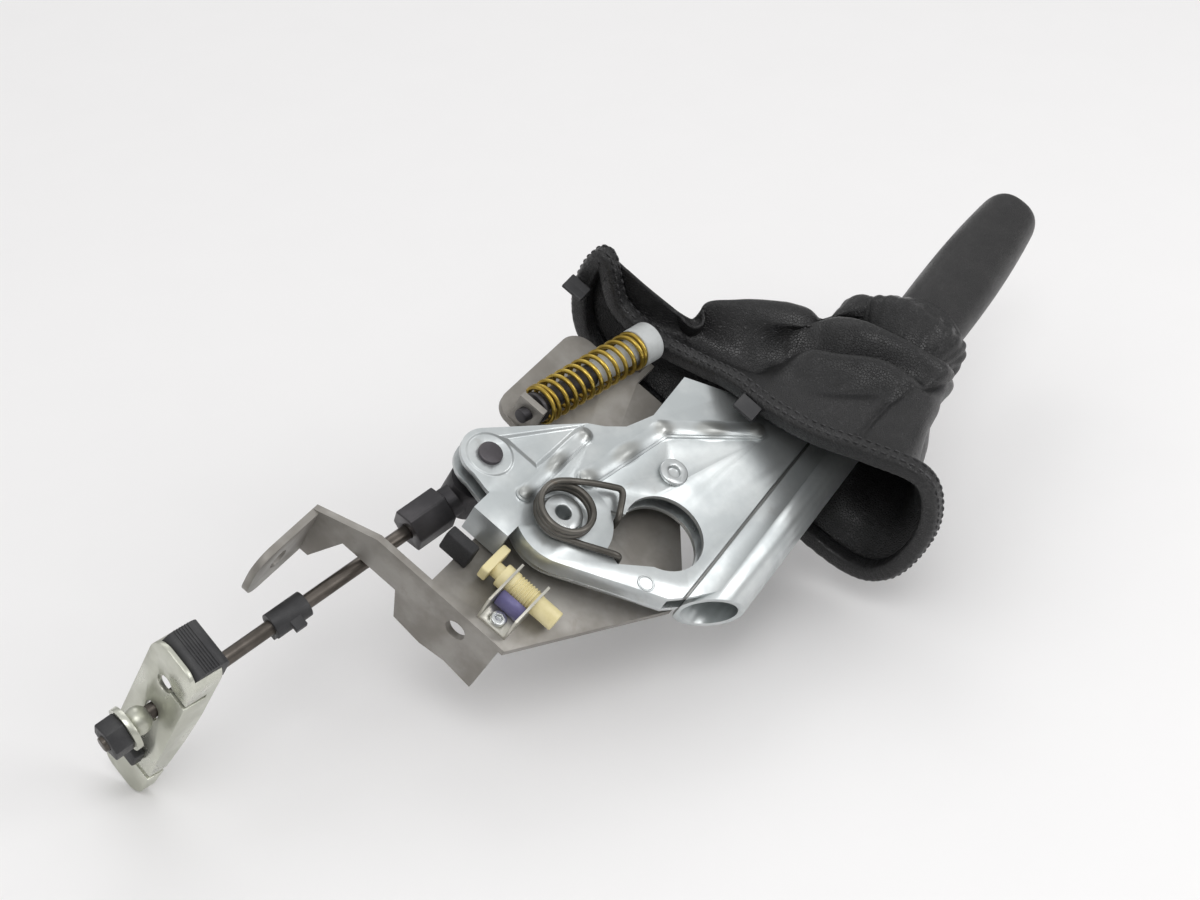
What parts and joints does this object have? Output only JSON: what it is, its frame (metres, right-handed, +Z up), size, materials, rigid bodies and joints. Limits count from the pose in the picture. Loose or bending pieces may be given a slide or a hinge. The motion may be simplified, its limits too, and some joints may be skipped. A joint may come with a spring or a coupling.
{
  "type": "parking brake lever",
  "caption": "Car parking brake lever: pressed ratchet lever with leather boot and grip on a steel bracket, pull rod and cable equalizer behind.",
  "frame": {"origin": "centre of the rear flange's bolt hole, on the flange's rear face", "axes": "+Z up from the bench the part lies on, +X along the part towards the grip; in the car the lever's grip points forward and the part is turned so that the rear foot is level"},
  "size_m": [0.4951, 0.2313, 0.1391],
  "materials": {
    "bracket_steel": "dull phosphated steel",
    "zinc_steel": "bright zinc plate",
    "bare_steel": "turned steel",
    "dark_steel": "black oxide",
    "spring_wire": "oiled spring wire",
    "gold_wire": "yellow chromate",
    "equalizer_zinc": "zinc plate",
    "black_plastic": "fine grain",
    "grey_plastic": "moulded",
    "cream_plastic": "moulded",
    "blue_plastic": "moulded",
    "rubber": "moulded",
    "leather": "grained",
    "button_plastic": "moulded"
  },
  "bodies": {
    "bracket": {"mounting_bracket": "bracket_steel", "pivot_stud": "zinc_steel", "ratchet_sector": "bare_steel", "sector_rivets": "bare_steel", "stop_buffer": "rubber", "switch_clip": "zinc_steel", "switch_screw": "zinc_steel", "switch_insulator": "blue_plastic", "switch_body": "cream_plastic", "buffer_rod": "dark_steel", "buffer_sleeve": "grey_plastic", "buffer_spring": "gold_wire"},
    "plunger": {"switch_plunger": "cream_plastic"},
    "lever": {"lever_shell": "zinc_steel", "lever_inner_wall": "zinc_steel", "pivot_bush": "zinc_steel", "pawl_spring": "spring_wire", "pawl_rivet": "zinc_steel", "cable_pin": "dark_steel", "pin_clip": "bare_steel", "grip": "leather", "boot_collar": "leather", "boot": "leather", "boot_frame": "black_plastic", "boot_clips": "black_plastic"},
    "pawl": {"pawl": "bare_steel"},
    "button": {"release_button": "button_plastic", "push_rod": "bare_steel"},
    "linkage": {"rod_eye": "dark_steel", "adjuster_nut": "dark_steel", "pull_rod": "dark_steel", "ball_washer": "equalizer_zinc", "end_nut": "black_plastic", "rod_clip": "black_plastic", "lock_wire": "dark_steel"},
    "equalizer": {"equalizer": "equalizer_zinc", "equalizer_cap": "black_plastic", "cable_retainer": "black_plastic"}
  },
  "joints": [
    {"name": "lever_pivot", "type": "hinge", "parent": "bracket", "child": "lever", "pos_m": [0.05148, -0.00987, 0.01965], "axis": [0.0755, 0.5, -0.8627], "range_deg": [0, 30]},
    {"name": "rod_pivot", "type": "hinge", "parent": "lever", "child": "linkage", "pos_m": [0.0511, 0.02974, 0.02403], "axis": [0.0755, 0.5, -0.8627], "range_deg": [-30, 0]},
    {"name": "equalizer_tilt", "type": "hinge", "parent": "linkage", "child": "equalizer", "pos_m": [-0.09727, 0.0734, -0.00827], "axis": [-0.1404, -0.8512, -0.5056], "range_deg": [-10, 10]},
    {"name": "button_slide", "type": "slide", "parent": "lever", "child": "button", "axis": [-0.9932, -0.0393, -0.1097], "range_m": [-0.0022, 0.006], "stiffness_N_per_m": 1500},
    {"name": "pawl_swing", "type": "hinge", "parent": "lever", "child": "pawl", "pos_m": [0.10549, -0.02494, 0.01043], "axis": [0.0755, 0.5, -0.8627], "range_deg": [-2.93, 8]},
    {"name": "plunger_slide", "type": "slide", "parent": "bracket", "child": "plunger", "axis": [0.0436, -0.866, -0.4981], "range_m": [0, 0.002], "stiffness_N_per_m": 800}
  ],
  "couplings": [
    {"joint": "rod_pivot", "follows": "lever_pivot", "ratio": -1},
    {"joint": "pawl_swing", "follows": "button_slide", "rad_per_m": 23.27}
  ]
}
